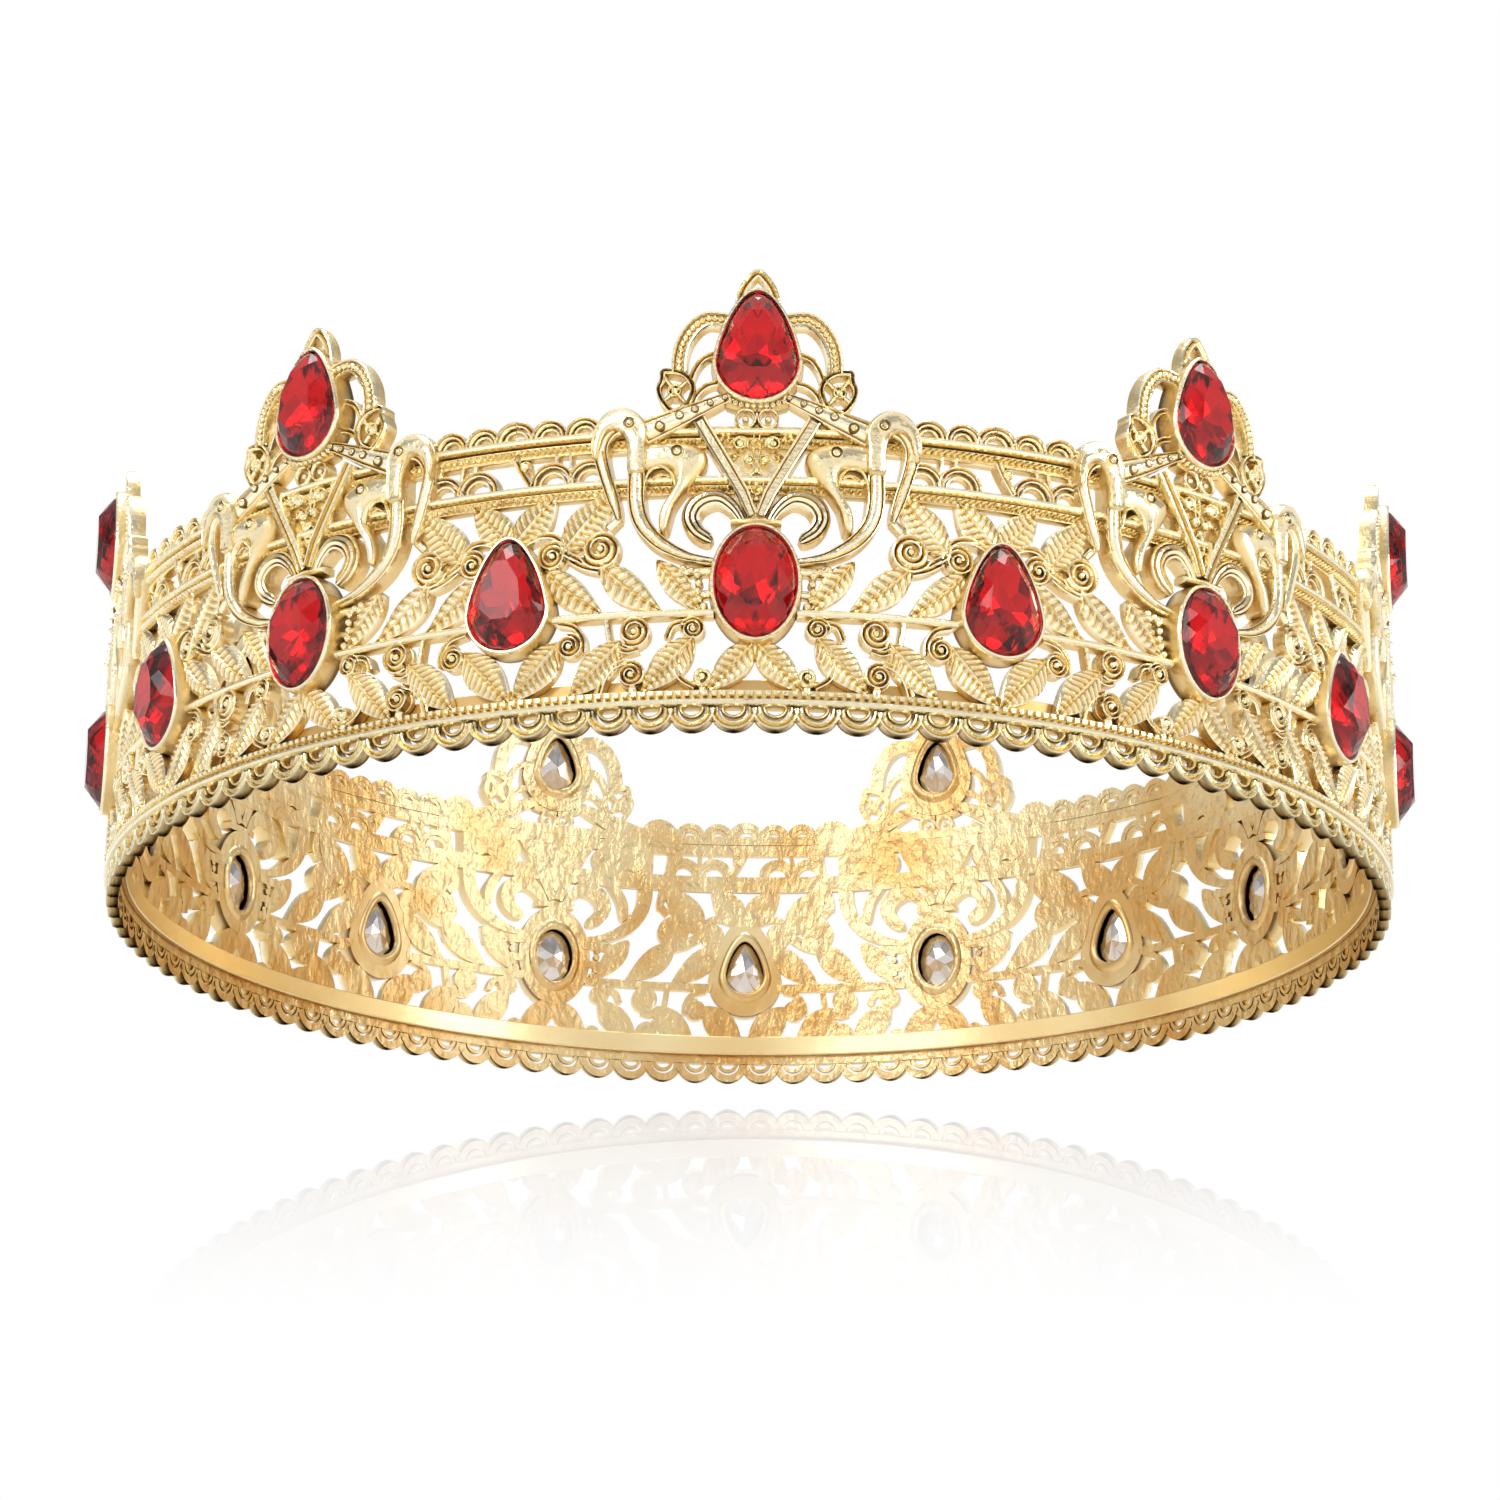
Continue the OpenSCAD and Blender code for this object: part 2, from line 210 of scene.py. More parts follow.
def make_world():
    """White behind the crown, and a studio with bright and dim bands for the metal to mirror."""
    world = bpy.data.worlds.new("studio")
    bpy.context.scene.world = world
    world.use_nodes = True
    nodes, links = world.node_tree.nodes, world.node_tree.links
    nodes.clear()
    output = nodes.new("ShaderNodeOutputWorld")
    path = nodes.new("ShaderNodeLightPath")
    plain = nodes.new("ShaderNodeBackground")
    plain.inputs["Color"].default_value = (1, 1, 1, 1)
    studio = nodes.new("ShaderNodeBackground")
    place = nodes.new("ShaderNodeTexCoord")
    split = nodes.new("ShaderNodeSeparateXYZ")
    height = nodes.new("ShaderNodeMapRange")
    height.inputs["From Min"].default_value = -1
    bands = nodes.new("ShaderNodeValToRGB")
    # Height in the studio, from its floor at 0 to its ceiling at 1, and brightness there.
    stops = [(0.0, 0.22), (0.36, 0.36), (0.47, 0.70), (0.56, 0.98), (0.67, 0.96),
             (0.74, 0.42), (0.82, 0.35), (1.0, 1.0)]
    ramp = bands.color_ramp
    for position, value in stops[1:-1]:
        ramp.elements.new(position)
    for element, (position, value) in zip(ramp.elements, stops):
        element.position = position
        element.color = (value, value * 0.985, value * 0.96, 1)
    join(links, (place, "Generated", split, "Vector"), (split, "Z", height, "Value"),
         (height, "Result", bands, "Fac"))
    behind = eased(nodes, links, split.outputs["Y"], 0.6, 0.85)
    backdrop = mixed(nodes, links, behind, bands.outputs["Color"], plain_white(nodes))
    links.new(backdrop, studio.inputs["Color"])
    mix_shaders(nodes, links, path.outputs["Is Camera Ray"], studio.outputs["Background"],
                plain.outputs["Background"], output)


def add_light(name, place, aim, size, power):
    """A softbox: places and size in metres, power in watts."""
    data = bpy.data.lights.new(name, "AREA")
    data.shape = "RECTANGLE"
    data.size, data.size_y = size
    data.energy = power
    light = placed(name, data)
    light.location = place
    light.rotation_euler = (Vector(aim) - Vector(place)).to_track_quat("-Z", "Y").to_euler()
    light.visible_camera = False


def make_lights():
    centre = (0, 0, 0.03)
    add_light("key_softbox", (-0.45, -0.75, 0.55), centre, (0.5, 0.5), 2.4)
    add_light("right_softbox", (0.75, -0.45, 0.18), centre, (0.3, 0.5), 1.8)
    add_light("low_fill", (0.1, -0.8, -0.35), centre, (0.6, 0.2), 1.5)
    add_light("top_softbox", (0, 0.1, 0.9), centre, (0.5, 0.5), 4)


# ---- flat drawing in millimetres: u along the wall, v up it, h out from its back

class Relief:
    """Closed shells as rows of (u, v, h, crest). Crest is 1 on a ridge and 0 at the back, and paints shade
    where it is low and highlight where it is high.
    """

    def __init__(self):
        self.points = []
        self.faces = []
        self.count = 0

    def add(self, points, faces):
        self.points.append(np.asarray(points, float))
        self.faces += [tuple(i + self.count for i in face) for face in faces]
        self.count += len(points)

    def add_both(self, half):
        """A half and its mirror image."""
        rows = np.concatenate(half.points)
        self.add(rows, half.faces)
        self.add(rows * [-1, 1, 1, 1], [face[::-1] for face in half.faces])

    def back_step(self):
        """A small step that keeps one shell's flat back off the next one's."""
        return 0.012 * (len(self.points) % 13)


SIDE = 0.45                          # crest of a bar's plain sides, painted as mid shade
PAINTED_SHADE_CREST = 0.15                        # crest painted as dark shade, as in a groove

# Cross sections of bars as (across, up), with a crest as third number where it is not the height; a low crest
# paints shade into a groove.
WIRE = [(-1, 0), (-1, .45), (-.85, .76), (-.5, .94), (0, 1), (.5, .94), (.85, .76), (1, .45), (1, 0)]
DOUBLE = [(-1, 0), (-1, .7), (-.82, .95), (-.5, 1), (-.2, .82, .6), (0, .66, .2), (.2, .82, .6), (.5, 1),
          (.82, .95), (1, .7), (1, 0)]
RIMMED = [(-1, 0), (-1, .88), (-.88, 1), (-.68, .98), (-.56, .76, .2), (-.42, .8, .8), (.42, .8, .8),
          (.56, .76, .2), (.68, .98), (.88, 1), (1, .88), (1, 0)]
BODY = [(-1, 0), (-1, .7), (-.9, .84), (-.78, .86), (-.68, .74, .2), (-.57, .87, .8), (-.3, .98), (0, 1),
        (.3, .98), (.57, .87, .8), (.68, .74, .2), (.78, .86), (.9, .84), (1, .7), (1, 0)]
FLUTED = [(-1, 0), (-1, .7), (-.88, .88), (-.66, .92), (-.54, .74, .2), (-.42, .93), (-.12, 1),
          (.04, .8, .25), (.18, .97), (.5, .95), (.62, .74, .2), (.74, .87), (.9, .8), (1, .62), (1, 0)]
STRIP = [(-1, 0), (-1, .85, .3), (-.9, 1, .5), (.9, 1, .5), (1, .85, .3), (1, 0)]


def smooth(points, steps, closed=False):
    """A smooth line through a few rows, of any width."""
    p = np.asarray(points, float)
    n = len(p)
    out = []
    for i in range(n if closed else n - 1):
        if closed:
            a, b, c, d = p[i - 1], p[i], p[(i + 1) % n], p[(i + 2) % n]
        else:
            a, b, c, d = p[max(i - 1, 0)], p[i], p[i + 1], p[min(i + 2, n - 1)]
        for s in range(steps):
            t = s / steps
            out.append(0.5 * (2 * b + (c - a) * t + (2 * a - 5 * b + 4 * c - d) * t * t
                              + (3 * b - a - 3 * c + d) * t ** 3))
    if not closed:
        out.append(p[-1])
    return np.array(out)


def grid_faces(rows, cols, ring_of_rows=False):
    """Faces of a tube: rows of cols points, closed across, with caps unless its rows close too."""
    faces = []
    for i in range(rows if ring_of_rows else rows - 1):
        k = (i + 1) % rows
        for j in range(cols):
            m = (j + 1) % cols
            faces.append((i * cols + j, k * cols + j, k * cols + m, i * cols + m))
    if not ring_of_rows:
        faces.append(tuple(range(cols)))
        faces.append(tuple((rows - 1) * cols + j for j in reversed(range(cols))))
    return faces


def stack_faces(rings, n):
    """Faces of a closed stack of rings of n points, from its flat back to its top."""
    faces = [tuple(reversed(range(n)))]
    for r in range(rings - 1):
        for i in range(n):
            k = (i + 1) % n
            faces.append((r * n + i, r * n + k, (r + 1) * n + k, (r + 1) * n + i))
    faces.append(tuple((rings - 1) * n + i for i in range(n)))
    return faces


def sweep(relief, rows, profile, closed=False, base=None):
    """A flat-backed bar along rows of (u, v, width, height)."""
    rows = np.asarray(rows, float)
    base = relief.back_step() if base is None else base
    path = rows[:, :2]
    if closed:
        along = np.roll(path, -1, 0) - np.roll(path, 1, 0)
    else:
        along = np.gradient(path, axis=0)
    along /= np.linalg.norm(along, axis=1)[:, None]
    across = np.stack([-along[:, 1], along[:, 0]], 1)
    points = []
    for (u, v), side, (width, height) in zip(path, across, rows[:, 2:]):
        for s, up, *crest in profile:
            points.append((u + side[0] * s * width / 2, v + side[1] * s * width / 2,
                           base + (height - base) * up, crest[0] if crest else max(up, SIDE)))
    relief.add(points, grid_faces(len(rows), len(profile), closed))


def bar(relief, points, width, height, profile=WIRE, steps=4):
    """A smooth bar of one width and height, or one that runs evenly between two of each."""
    n = len(points)
    w = np.linspace(*width, n) if isinstance(width, tuple) else np.full(n, width)
    h = np.linspace(*height, n) if isinstance(height, tuple) else np.full(n, height)
    rows = [(p[0], p[1], w[i], h[i]) for i, p in enumerate(points)]
    sweep(relief, smooth(rows, steps), profile)


def trace(relief, line, width, height, profile=WIRE, closed=False):
    """A bar of one width and height along a finished line."""
    sweep(relief, [(*p, width, height) for p in line], profile, closed)


def arc(centre, radius, start, end, n, squash=1.0):
    angles = np.radians(np.linspace(start, end, n))
    return [(centre[0] + radius * math.cos(a), centre[1] + radius * squash * math.sin(a)) for a in angles]


def pillow(relief, outline, height, edge=0.6, base=None):
    """A rounded boss inside an outline."""
    base = relief.back_step() if base is None else base
    p = np.asarray(outline, float)[:, :2]
    n = len(p)
    area = sum(p[i - 1][0] * p[i][1] - p[i][0] * p[i - 1][1] for i in range(n))
    if area < 0:
        p = p[::-1]
    along = np.roll(p, -1, 0) - np.roll(p, 1, 0)
    along /= np.linalg.norm(along, axis=1)[:, None]
    inward = np.stack([-along[:, 1], along[:, 0]], 1)
    room = np.full(n, np.inf)            # how far inwards each point can go
    a, b = p, np.roll(p, -1, 0)
    for i in range(n):
        for k in range(n):
            if k in (i, (i - 1) % n):
                continue
            e = b[k] - a[k]
            det = e[0] * inward[i][1] - e[1] * inward[i][0]
            if abs(det) < 1e-9:
                continue
            q = a[k] - p[i]
            t = (e[0] * q[1] - e[1] * q[0]) / det
            s = (inward[i][0] * q[1] - inward[i][1] * q[0]) / det
            if t > 1e-6 and -1e-6 <= s <= 1 + 1e-6:
                room[i] = min(room[i], t)
    room = np.minimum(room, 6)
    for _ in range(3):
        room = np.minimum(room, (np.roll(room, 1) + room + np.roll(room, -1)) / 3)
    points = [(u, v, base, SIDE) for u, v in p]
    steps = [(0, edge), (0.06, edge + 0.16), (0.2, edge + 0.3), (0.42, 0.96), (0.7, 1.0)]
    for share, up in steps:
        ring = p + inward * (room * share / 2)[:, None]
        up = min(up, 1.0)
        # A crest a little under the height paints a boss slightly darker than its height gives, with painted
        # shade at its foot.
        points += [(u, v, base + (height - base) * up, max(SIDE, up - 0.22)) for u, v in ring]
    relief.add(points, stack_faces(len(steps) + 1, n))


def disc(relief, centre, radius, height, n=14, profile=((1, 0), (1, .7), (.85, .92), (.5, 1)), shade=None):
    """A low round button; where shade is given, it is painted all over with that one crest as painted shade.
    """
    base = relief.back_step()
    points = []
    for share, up in profile:
        for i in range(n):
            a = 2 * math.pi * i / n
            points.append((centre[0] + radius * share * math.cos(a),
                           centre[1] + radius * share * math.sin(a), base + (height - base) * up,
                           max(up, SIDE) if shade is None else shade))
    relief.add(points, stack_faces(len(profile), n))


def ball(relief, centre, radius, low, n=8):
    """A bead that stands on whatever is at height low."""
    disc(relief, centre, radius, low + radius * 1.1, n,
         ((1, 0), (1, low / (low + radius)), (.8, .9), (.4, 1)))


def scroll(relief, centre, radius, start, hand, turns, height=1.95):
    """A coiled wire with a bead at its eye, on a thin round web."""
    eye = 0.26
    pitch = (radius - eye) / (turns + 0.5)
    count = int(turns * 18) + 1
    rows = []
    for i in range(count):
        t = i / (count - 1)
        angle = math.radians(start) + hand * 2 * math.pi * turns * t
        r = (radius - pitch / 2) + (eye + pitch / 2 - (radius - pitch / 2)) * t
        rows.append((centre[0] + r * math.cos(angle), centre[1] + r * math.sin(angle),
                     pitch * 0.94, height + 0.3 * t))
    sweep(relief, rows, DOUBLE if pitch > 0.75 else WIRE)
    disc(relief, centre, radius - pitch * 0.4, height * 0.62, 20, ((1, 0), (1, .6), (.9, .66)))
    ball(relief, centre, eye * 1.7, height * 0.9)


def leaf(relief, root, tip, width, veins, height=2.0, lean=0.0):
    """A leaf with a raised midrib and slanting veins. Lean bows it to one side."""
    a, b = np.array(root, float), np.array(tip, float)
    d = b - a
    long = np.linalg.norm(d)
    n = np.array([-d[1], d[0]]) / long
    slant = min(0.28, 0.32 * width / long)
    shares = [1, .82, .58, .32, .14]
    beside_rib = shares[-1]
    base = relief.back_step()
    rows = 2 * veins + 1
    points = []
    for i in range(rows):
        s = 0.015 + 0.97 * i / (rows - 1)
        mid = max(0.0, (s - slant) / (1 - slant))
        ridge = i % 2
        swell = math.sin(math.pi * s ** 0.8)
        half = width / 2 * swell + 0.03 * ridge

        def at(share, side):
            t = mid + (s - mid) * share
            bow = lean * math.sin(math.pi * t)
            return a + d * t + n * (side * share * half + bow)

        fade = 0.45 + 0.55 * swell
        points.append((*at(1, -1), base, SIDE))
        for side in (-1, 1):
            for share in (shares if side < 0 else shares[::-1]):
                up = 0.62 + 0.3 * math.sqrt(max(0.0, 1 - share ** 2)) * fade
                if share == beside_rib:
                    up -= 0.07
                up += (0.05 if ridge else -0.09) if share < 1 else 0.02
                # Crest paints shade into the furrows between veins and along the leaf's foot, and highlight
                # on the vein ridges, the rim and the midrib.
                crest = (0.3 + 0.66 * ridge) if share < 1 else 0.95
                points.append((*at(share, side), base + (height - base) * up, crest))
            if side < 0:
                up = 0.90 + 0.12 * fade
                points.append((*at(0, 1), base + (height - base) * up, 1.0))
        points.append((*at(1, 1), base, SIDE))
    relief.add(points, grid_faces(rows, 2 * len(shares) + 3))


# ---- repeats: one node tree that strings a shape along a path

def add_socket(tree, name, kind, value=None, out=False):
    socket = tree.interface.new_socket(name, in_out="OUTPUT" if out else "INPUT",
                                       socket_type="NodeSocket" + kind)
    if value is not None:
        socket.default_value = value


def string_tree():
    """Geometry nodes: a shape repeated along a path, facing along it with a chosen turn."""
    tree = bpy.data.node_groups.new("string_along", "GeometryNodeTree")
    for name, kind in (("Path", "Geometry"), ("Shape", "Object"), ("Count", "Int"), ("Turn", "Float"),
                       ("Material", "Material")):
        add_socket(tree, name, kind)
    add_socket(tree, "Strung", "Geometry", out=True)
    nodes, links = tree.nodes, tree.links
    given = nodes.new("NodeGroupInput")
    result = nodes.new("NodeGroupOutput")
    curve, spread, shape, tangent, place, real, paint = (
        nodes.new("GeometryNode" + kind) for kind in (
            "MeshToCurve", "ResampleCurve", "ObjectInfo", "InputTangent", "InstanceOnPoints",
            "RealizeInstances", "SetMaterial"))
    align = nodes.new("FunctionNodeAlignRotationToVector")
    align.axis = "X"
    axis = nodes.new("FunctionNodeAxisAngleToRotation")
    turn = nodes.new("FunctionNodeRotateRotation")
    turn.rotation_space = "LOCAL"
    join(links, (given, "Path", curve, "Mesh"), (curve, "Curve", spread, "Curve"),
         (given, "Count", spread, "Count"), (given, "Shape", shape, "Object"),
         (tangent, "Tangent", align, "Vector"), (given, "Turn", axis, "Angle"),
         (align, "Rotation", turn, "Rotation"), (axis, "Rotation", turn, "Rotate By"),
         (spread, "Curve", place, "Points"), (shape, "Geometry", place, "Instance"),
         (turn, "Rotation", place, "Rotation"), (place, "Instances", real, "Geometry"),
         (real, "Geometry", paint, "Geometry"), (given, "Material", paint, "Material"),
         (paint, "Geometry", result, "Strung"))
    return tree


def shape_object(name, build):
    """A small mesh, drawn flat round (0, 0), for stringing."""
    little = Relief()
    build(little)
    rows = np.concatenate(little.points)
    mesh = bpy.data.meshes.new(name)
    mesh.from_pydata([tuple(r[:3]) for r in rows], [], little.faces)
    return bpy.data.objects.new(name, mesh)


def strung(relief, tree, path, shape, count, material, turn):
    """Adds a shape repeated along a flat path, its first and last on the path's ends."""
    mesh = bpy.data.meshes.new("path")
    points = [(p[0], p[1], 0) for p in path]
    mesh.from_pydata(points, [(i, i + 1) for i in range(len(points) - 1)], [])
    holder = placed("path", mesh)
    modifier = holder.modifiers.new("string", "NODES")
    modifier.node_group = tree
    values = {"Shape": shape, "Count": count, "Turn": math.radians(turn), "Material": material}
    for item in tree.interface.items_tree:
        if item.in_out == "INPUT" and item.name in values:
            modifier[item.identifier] = values[item.name]
    evaluated = holder.evaluated_get(bpy.context.evaluated_depsgraph_get())
    made = bpy.data.meshes.new_from_object(evaluated)
    co = np.array([v.co for v in made.vertices], float).reshape(-1, 3)
    low, high = co[:, 2].min(), co[:, 2].max()
    # Crest from height: painted shade low on the shape, painted highlight at its top.
    crest = (co[:, 2] - low) / (high - low)
    base = relief.back_step()
    co[:, 2] = np.maximum(co[:, 2], base)
    relief.add(np.column_stack([co, crest]), [tuple(f.vertices) for f in made.polygons])
    bpy.data.objects.remove(holder)
    bpy.data.meshes.remove(made)


def small_shapes():
    """The shapes that are strung in rows."""
    r = SCALLOP_PITCH / 2
    builders = {
        "bead": lambda bit: ball(bit, (0, 0), 0.42, 2.15),
        "dot": lambda bit: ball(bit, (0, 0), 0.3, 2.45),
        "knob": lambda bit: ball(bit, (0, 0), 0.5, 1.3),
        "stud": lambda bit: ball(bit, (0, 0), 0.42, 1.1),
        "barrel": lambda bit: sweep(
            bit, [(-.42, 0, .55, 1.4), (-.28, 0, .95, 2.0), (.28, 0, .95, 2.0), (.42, 0, .55, 1.4)],
            [(-1, 0), (-1, .7), (-.5, 1), (.5, 1), (1, .7), (1, 0)]),
        "strand": lambda bit: sweep(
            bit, [(-.68, 0, .3, 1.35), (-.35, 0, .6, 2.05), (.35, 0, .6, 2.05), (.68, 0, .3, 1.35)],
            [(-1, 0), (-1, .7), (0, 1), (1, .7), (1, 0)]),
        "scallop": lambda bit: trace(bit, arc((0, 0), r - 0.2, 180, 360, 16, 0.95), 1.1, 1.8, DOUBLE),
        "inner_scallop": lambda bit: trace(bit, arc((0, 0), r - 1.15, 180, 360, 12, 0.9), 0.5, 1.5),
    }
    return {name: shape_object(name, build) for name, build in builders.items()}


def stringer(material):
    """A way to string a small shape along a path by its name, and the shapes it uses."""
    tree, shapes = string_tree(), small_shapes()

    def string(relief, path, name, count, turn=0.0):
        strung(relief, tree, path, shapes[name], count, material, turn)

    return string, shapes


def even_line(points):
    return [tuple(p) for p in smooth(points, 8)]


# ---- the cast panel, drawn flat

def rail(relief, v, width, height, profile=WIRE):
    """A straight bar from seam to seam."""
    count = int(2 * DRAWN_HALF / RAIL_STEP)
    sweep(relief, [(u, v, width, height) for u in np.linspace(-DRAWN_HALF, DRAWN_HALF, count)], profile)


def rails(relief):
    """Place up the wall, width, height and section of each rail."""
    for row in ((-13.85, 1.15, 2.2), (-12.75, 1.15, 1.35, STRIP), (13.85, 1.1, 2.1),
                (12.7, 1.25, 1.3, STRIP), (19.95, 1.05, 2.1), (18.55, 1.5, 1.3, STRIP),
                (17.85, 0.3, 1.6), (20.6, 0.3, 1.3)):
        rail(relief, *row)


def ropes(relief, string):
    for v, short, shape, count, turn in ((-12.75, .6, "barrel", 56, 0), (12.7, .5, "strand", 72, 35),
                                         (18.65, .5, "strand", 72, 35)):
        string(relief, [(-DRAWN_HALF + short, v), (DRAWN_HALF - short, v)], shape, count, turn)


def festoon(relief, string):
    ends = DRAWN_HALF - SCALLOP_PITCH / 2
    between = ends - SCALLOP_PITCH / 2
    for u, v, shape, count in ((ends, -14.5, "scallop", SCALLOPS), (ends, -14.3, "inner_scallop", SCALLOPS),
                               (between, -15.35, "stud", SCALLOPS - 1)):
        string(relief, [(-u, v), (u, v)], shape, count)


def top_arches(half):
    for u in (20.9, 25.2):
        trace(half, arc((u, 20.3), 1.95, 0, 180, 12), 0.85, 1.7, DOUBLE)
        trace(half, arc((u, 20.3), 1.95 - 0.75, 0, 180, 8), 0.5, 1.3)
    trace(half, arc((DRAWN_HALF - 0.1, 20.3), 2.2, 90, 180, 8), 0.9, 1.7, DOUBLE)
    trace(half, arc((DRAWN_HALF - 0.1, 20.3), 1.35, 90, 180, 6), 0.5, 1.3)


def rail_arches(half):
    for u in (20, 24.7):
        trace(half, arc((u, 14.3), 2.45, 0, 180, 14), 0.8, 1.7, DOUBLE)
        trace(half, arc((u, 14.3), 1.6, 0, 180, 10), 0.55, 1.3)
        bar(half, [(u - 0.6, 16.8), (u - 0.4, 18.2)], 0.8, 1.5)
    bar(half, [(22.3, 14.3), (22.4, 16.6), (22.6, 18.2)], 0.7, 1.4)


def end_brace(relief):
    """Only the left end has a brace between its two upper rails."""
    bar(relief, [(-29.4, 18.2), (-28.7, 16.6), (-27.4, 14.4)], (1.1, 0.9), 1.8, DOUBLE)
    scroll(relief, (-28.1, 16.9), 0.8, 40, 1, 1.0, 1.7)


def leaves(half):
    """Root, tip, width, veins, height and lean of each leaf."""
    for row in (
            ((23.2, 5.4), (17, 13), 4.6, 12, 2.1), ((29.4, 6.8), (24.1, 12.8), 4.3, 10, 2.1),
            ((25.4, 3.6), (18.1, -2.5), 3.7, 9, 2.0, 0.35), ((18.8, 3.9), (11, -2.5), 3.9, 9, 2.0, 0.35),
            ((11.7, 3.9), (6.5, -2.6), 3.1, 9, 2.0), ((-0.1, -6.2), (5.7, -12.6), 3.7, 10, 2.1),
            ((7.2, -5.7), (13.5, -12.6), 4.1, 12, 2.1), ((15.8, -6), (22.1, -12.6), 4.3, 12, 2.1),
            ((23.3, -5.7), (29.4, -12.6), 4.5, 12, 2.1)):
        leaf(half, *row)


def scrolls(half):
    """Centre, radius, starting angle, hand and turns of each scroll."""
    for row in (
            ((18.5, 5.6), 2.85, -20, -1, 1.7), ((24.4, 5.1), 2.25, 180, -1, 1.5),
            ((7.3, -4.8), 1.7, 0, 1, 1.3), ((14.3, -4.9), 2.25, -50, -1, 1.5),
            ((22.1, -6.3), 1.85, 80, 1, 1.3), ((14.6, -10.2), 1.95, 45, 1, 1.35),
            ((6.2, -10.7), 1.4, -45, -1, 1.1)):
        scroll(half, *row)


def stems(half):
    """Line, width, height and section of each stem and tie."""
    for row in (
            ([(21, 4.4), (22, 4.9), (23.2, 5.8)], (0.9, 1.1), 1.9, DOUBLE),
            ([(18.6, 2.9), (20.6, 3.5), (22.4, 4.6)], 0.9, 1.9, DOUBLE),
            ([(22.8, 6.1), (24, 7.5), (25.8, 7.8), (28.2, 6.9)], 0.95, 1.9, DOUBLE),
            ([(8.2, -3.9), (9.7, -4.3), (10.4, -5.8)], 0.85, 1.8, DOUBLE),
            ([(8.6, -7), (9.2, -9), (8.7, -10.8), (7, -11.9)], 0.85, 1.8, DOUBLE),
            ([(13.8, -7), (15.2, -7.3), (16.6, -6.6)], 0.85, 1.8, DOUBLE),
            ([(23.6, -3.3), (21.6, -3.9), (20.5, -5.4), (20.4, -7)], 0.85, 1.8, DOUBLE),
            ([(15.2, -8.5), (17, -9.3), (18, -10.8), (18.5, -12.4)], (0.9, 1.1), 1.8, DOUBLE),
            ([(17.7, -3.2), (17.2, -6.4)], 0.85, 1.6), ([(7, -3), (7.1, -4)], 1.2, 1.5),
            ([(14.1, -3), (14.2, -3.6)], 1.5, 1.5), ([(9.2, 2.4), (4.8, 2.6)], 1.2, 1.5),
            ([(8, -0.4), (4.8, -0.2)], 1.1, 1.3), ([(14.5, -11.6), (14.4, -12.6)], 1.3, 1.5),
            ([(6.2, -11.6), (6.1, -12.6)], 1.2, 1.5), ([(16.4, 9.4), (17.6, 8.2)], 1.2, 1.5),
            ([(4.9, -2.8), (14.7, -2.8), (24.6, -2.8)], 1.15, 2.0, WIRE, 9),
            ([(10.6, 7.6), (12.6, 7.4)], 0.8, 1.5)):
        bar(half, *row)


def frill(half, string):
    string(half, even_line([(8.6, 2.8), (7, 2.2), (6.7, 0.8), (6.8, -0.6), (6.1, -1.9)]), "knob", 7)


def swan(half):
    """Neck and outer head as one band, from its tail under the oval stone's rim to its hooked end."""
    rows = [(4.9, 3.5, 0.8, 2.3), (6.9, 3.8, 1.0, 2.5), (8.7, 4.3, 1.4, 2.7), (11.3, 5.8, 1.9, 2.9),
            (13.3, 8.1, 2.1, 3.0), (14.1, 10.8, 2.2, 3.0), (14.15, 14.5, 2.2, 3.0), (14.1, 18, 2.2, 3.1),
            (14.5, 20.3, 2.7, 3.15), (15.4, 21.2, 3.3, 3.2), (16.6, 21.2, 3.6, 3.2),
            (17.8, 20.3, 3.1, 3.15), (18.5, 18.7, 2.3, 3.0), (18.5, 17, 1.9, 2.9),
            (17.9, 14.6, 1.7, 2.8), (17.1, 12, 1.6, 2.6), (16.5, 10.1, 1.2, 2.5), (16.3, 9.1, 0.7, 2.3)]
    sweep(half, smooth(rows, 4), BODY)
    head = [(13.1, 14.6), (12.9, 17.6), (12.8, 20.2), (14.1, 22.1), (16.3, 22.9), (18.4, 21.9),
            (19.5, 19.3), (19.3, 16.6), (18.6, 16.9), (18, 18.9), (17, 19.9), (15.9, 19.4),
            (15.3, 17.4), (15.1, 14.6)]
    pillow(half, smooth(head, 4, True), 3.35, 0.72)
    eye(half, (14.9, 20.6), 3.4)


def stud(relief, centre, radius, height):
    """A bead on a thin disc painted dark as the shade round it, on a surface at this height."""
    disc(relief, centre, radius * 1.45, height + 0.06, 14, ((1, 0), (1, 1)), PAINTED_SHADE_CREST)
    ball(relief, centre, radius, height + 0.1)


def eye(relief, centre, height):
    """A stud inside a raised ring."""
    trace(relief, arc(centre, 0.72, 0, 330, 14), 0.2, height + 0.3, WIRE, True)
    stud(relief, centre, 0.42, height)


def inner_head(half):
    outline = smooth([(13.8, 17.9), (10.6, 18.5), (8, 18.3), (6.2, 17.3), (5.8, 15.9), (6.5, 14.4),
                      (8.1, 12.4), (9.5, 10.4), (10, 8.8), (10.4, 7.3), (11.1, 7), (11.5, 8.2),
                      (11.2, 10.2), (9.9, 12.4), (9.9, 13.8), (10.5, 15), (13.6, 14.9)], 4, True)
    pillow(half, outline, 3.1, 0.55)
    sweep(half, smooth([(9.6, 12.7, 0.6, 3.0), (10, 14.3, 0.6, 3.1), (11.2, 15.2, 0.6, 3.1),
                        (12.6, 14.6, 0.6, 3.1), (13.2, 12.5, 0.5, 3.0)], 5), WIRE)
    sweep(half, smooth([(10.2, 14.2, 0.4, 2.7), (11.2, 14.4, 0.4, 2.8), (12.3, 13.8, 0.4, 2.7)], 4), WIRE)
    eye(half, (9.3, 16.9), 3.15)


